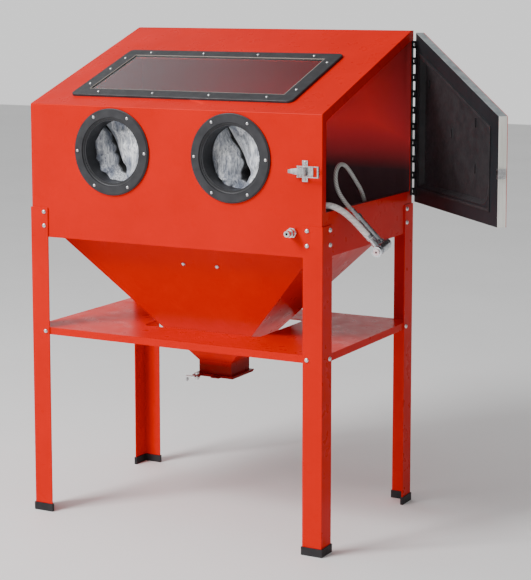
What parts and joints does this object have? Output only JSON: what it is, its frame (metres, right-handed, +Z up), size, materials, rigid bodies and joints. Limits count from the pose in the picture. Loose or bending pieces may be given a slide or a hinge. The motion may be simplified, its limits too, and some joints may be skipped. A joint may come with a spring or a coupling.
{
  "type": "sandblast cabinet",
  "caption": "Free-standing sheet-metal blasting cabinet with a hopper, sloping window, two glove ports, a side door, a draw latch and a suction-fed gun.",
  "frame": {"origin": "on the floor under the middle of the four legs", "axes": "+Z up, -Y the front with the glove ports, +X the side with the door"},
  "size_m": [1.3329, 0.66, 1.354],
  "materials": {
    "red_paint": "gloss orange-red powder coat",
    "black_paint": "semi-gloss black paint",
    "black_rubber": "matt black rubber",
    "black_plastic": "satin charcoal moulding",
    "zinc_steel": "bright zinc plate",
    "window_glass": "clear polished glass",
    "glove_fabric": "grey-blue cotton-lined glove cloth",
    "gun_alloy": "cast and turned alloy",
    "ceramic": "glazed ceramic",
    "lamp_lens": "frosted polycarbonate",
    "air_hose_rubber": "grey braided air hose",
    "suction_hose_vinyl": "milky clear reinforced vinyl"
  },
  "bodies": {
    "cabinet": {"front_top_panel": "red_paint", "left_side_panel": "red_paint", "right_side_frame": "red_paint", "rear_panel": "red_paint", "base_frame": "red_paint", "hopper_front_plate": "red_paint", "hopper_rear_plate": "red_paint", "hopper_left_plate": "red_paint", "hopper_right_plate": "red_paint", "hopper_spout": "red_paint", "cover_hinge_pin": "zinc_steel", "clip_screw": "zinc_steel", "leg_front_left": "red_paint", "leg_front_right": "red_paint", "leg_rear_left": "red_paint", "leg_rear_right": "red_paint", "foot_caps": "black_rubber", "shelf": "red_paint", "frame_bolts": "zinc_steel", "panel_screws": "zinc_steel", "window_frame": "black_plastic", "window_gasket": "black_rubber", "window_glass": "window_glass", "glove_ring_left": "black_plastic", "glove_port_left": "black_plastic", "glove_left": "glove_fabric", "glove_ring_right": "black_plastic", "glove_port_right": "black_plastic", "glove_right": "glove_fabric", "glove_clamps": "zinc_steel", "grate_supports": "zinc_steel", "work_grate": "zinc_steel", "lamp_housing": "red_paint", "lamp_lens": "lamp_lens", "lamp_tube": "lamp_lens", "cable_gland": "black_plastic", "dust_port": "zinc_steel", "pickup_tube": "zinc_steel", "pickup_bracket": "zinc_steel", "latch_base": "zinc_steel", "cabinet_hinge_leaf": "black_paint", "hinge_pins": "zinc_steel", "air_inlet": "zinc_steel", "gun_body": "gun_alloy", "gun_nozzle": "ceramic", "nozzle_nut": "gun_alloy", "hose_ferrules": "gun_alloy", "air_hose": "air_hose_rubber", "suction_hose": "suction_hose_vinyl"},
    "door": {"door_skin": "red_paint", "door_frame": "black_paint", "door_liner": "black_rubber", "door_gasket": "black_rubber", "door_keeper": "zinc_steel", "door_hinge_leaf": "black_paint"},
    "latch_lever": {"latch_lever": "zinc_steel"},
    "latch_loop": {"latch_loop": "zinc_steel"},
    "spout_cover": {"spout_cover": "red_paint"},
    "cover_clip": {"cover_clip": "zinc_steel"},
    "gun_trigger": {"gun_trigger": "gun_alloy"}
  },
  "joints": [
    {"name": "door_hinge", "type": "hinge", "parent": "cabinet", "child": "door", "pos_m": [0.455, 0.289, 1.1], "axis": [0, 0, 1], "range_deg": [-35, 135]},
    {"name": "latch_lever_pivot", "type": "hinge", "parent": "cabinet", "child": "latch_lever", "pos_m": [0.402, -0.296, 1.008], "axis": [0, 0, 1], "range_deg": [0, 150]},
    {"name": "latch_loop_pivot", "type": "hinge", "parent": "latch_lever", "child": "latch_loop", "pos_m": [0.389, -0.302, 1.008], "axis": [0, 0, 1], "range_deg": [-150, 0]},
    {"name": "spout_cover_hinge", "type": "hinge", "parent": "cabinet", "child": "spout_cover", "pos_m": [0, 0.069, 0.388], "axis": [1, 0, 0], "range_deg": [0, 100]},
    {"name": "cover_clip_pivot", "type": "hinge", "parent": "cabinet", "child": "cover_clip", "pos_m": [-0.045, -0.076, 0.383], "axis": [0, 0, 1], "range_deg": [-90, 0]},
    {"name": "gun_trigger_pivot", "type": "hinge", "parent": "cabinet", "child": "gun_trigger", "pos_m": [0.53895, -0.14501, 0.81681], "axis": [-0.7477, 0.0236, -0.6636], "range_deg": [0, 4], "stiffness_Nm_per_rad": 0.6, "springref_deg": -2.01}
  ],
  "couplings": [
    {"joint": "latch_loop_pivot", "follows": "latch_lever_pivot", "ratio": -1}
  ]
}
